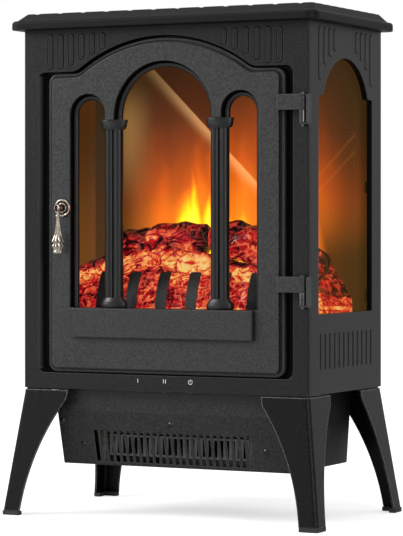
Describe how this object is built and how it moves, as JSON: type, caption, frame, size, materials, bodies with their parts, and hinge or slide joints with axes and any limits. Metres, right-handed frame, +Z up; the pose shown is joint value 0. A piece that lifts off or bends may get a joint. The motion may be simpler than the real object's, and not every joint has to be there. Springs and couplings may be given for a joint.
{
  "type": "electric fireplace",
  "caption": "Free-standing stove-style electric fireplace with a hinged arched glass door, side windows, glowing logs and a fan heater below.",
  "frame": {"origin": "on the floor, at the middle of the footprint", "axes": "+Z up, the door faces -Y, +X to the right seen from the front"},
  "size_m": [0.415, 0.25, 0.6],
  "materials": {
    "case_coat": "fine-texture satin powder coat",
    "leg_coat": "fine-texture satin powder coat",
    "door_coat": "fine-texture satin powder coat",
    "door_casting": "cast aluminium, satin black coat",
    "clear_glass": "polished, lightly tinted",
    "screen_acrylic": "translucent diffuser",
    "log_resin": "painted translucent moulding",
    "ember_resin": "painted translucent moulding",
    "firebox_black": "matt black",
    "zinc_plate": "zinc plated",
    "screw_black": "black oxide",
    "bright_metal": "bright plated",
    "pewter": "antiqued, rubbed on the high spots",
    "mirror_metal": "bright foil",
    "fin_metal": "mill finish",
    "mica": "mica board",
    "motor_steel": "plain",
    "rubber_black": "matt",
    "nylon_black": "moulded",
    "board_green": "circuit board",
    "cutout_brown": "moulded phenolic",
    "magnet_grey": "moulded case"
  },
  "bodies": {
    "case": {"back_panel": "case_coat", "back_reflector": "mirror_metal", "blower_brackets": "zinc_plate", "blower_motor": "motor_steel", "blower_scroll": "zinc_plate", "bottom_plate": "case_coat", "cable_gland": "nylon_black", "case_screws": "screw_black", "catch_magnet": "magnet_grey", "control_board": "board_green", "corner_posts": "zinc_plate", "element_frame": "mica", "ember_bed": "ember_resin", "ember_led_board": "board_green", "firebox_ceiling": "firebox_black", "firebox_floor": "firebox_black", "flame_led_board": "board_green", "flame_motor": "motor_steel", "flame_screen": "screen_acrylic", "foot_pads": "rubber_black", "front_panel": "case_coat", "grate_fingers": "firebox_black", "heater_housing": "case_coat", "heating_element": "fin_metal", "hinge_brackets": "door_coat", "hinge_knuckles": "bright_metal", "hinge_pins": "bright_metal", "led_brackets": "zinc_plate", "leg_back_left": "leg_coat", "leg_back_right": "leg_coat", "leg_front_left": "leg_coat", "leg_front_right": "leg_coat", "log_set": "log_resin", "side_glass_clips": "zinc_plate", "side_glass_left": "clear_glass", "side_glass_right": "clear_glass", "side_panel_left": "case_coat", "side_panel_right": "case_coat", "spindle_bearing": "zinc_plate", "switch_bodies": "nylon_black", "terminal_block": "nylon_black", "thermal_cutout": "cutout_brown", "top_lid": "case_coat"},
    "door": {"door_face": "door_coat", "door_back_frame": "door_casting", "arch_beads": "door_casting", "window_columns": "door_casting", "door_ledge": "door_coat", "door_glass": "clear_glass", "door_glass_frame": "door_casting", "hinge_straps": "door_coat", "handle_rosette": "pewter", "handle_post": "pewter", "catch_plate": "zinc_plate"},
    "pendant": {"handle_pendant": "pewter"},
    "low_heat_key": {"low_heat_rocker": "nylon_black"},
    "high_heat_key": {"high_heat_rocker": "nylon_black"},
    "power_key": {"power_rocker": "nylon_black"},
    "spindle": {"flame_spindle": "mirror_metal"},
    "blower": {"blower_wheel": "fin_metal"}
  },
  "joints": [
    {"name": "door_hinge", "type": "hinge", "parent": "case", "child": "door", "pos_m": [0.1818, -0.1098, 0.38], "axis": [0, 0, 1], "range_deg": [0, 110]},
    {"name": "pendant_swing", "type": "hinge", "parent": "door", "child": "pendant", "pos_m": [-0.134, -0.1172, 0.367], "axis": [-1, 0, 0], "range_deg": [-5, 80]},
    {"name": "low_heat_switch", "type": "hinge", "parent": "case", "child": "low_heat_key", "pos_m": [-0.0328, -0.0964, 0.1554], "axis": [0, 1, 0], "range_deg": [0, 12]},
    {"name": "high_heat_switch", "type": "hinge", "parent": "case", "child": "high_heat_key", "pos_m": [0.0026, -0.0964, 0.1554], "axis": [0, 1, 0], "range_deg": [0, 12]},
    {"name": "power_switch", "type": "hinge", "parent": "case", "child": "power_key", "pos_m": [0.0365, -0.0964, 0.1554], "axis": [0, 1, 0], "range_deg": [0, 12]},
    {"name": "spindle_spin", "type": "hinge", "parent": "case", "child": "spindle", "pos_m": [0, 0.076, 0.292], "axis": [1, 0, 0], "continuous": true},
    {"name": "blower_spin", "type": "hinge", "parent": "case", "child": "blower", "pos_m": [0, 0.018, 0.104], "axis": [1, 0, 0], "continuous": true}
  ]
}
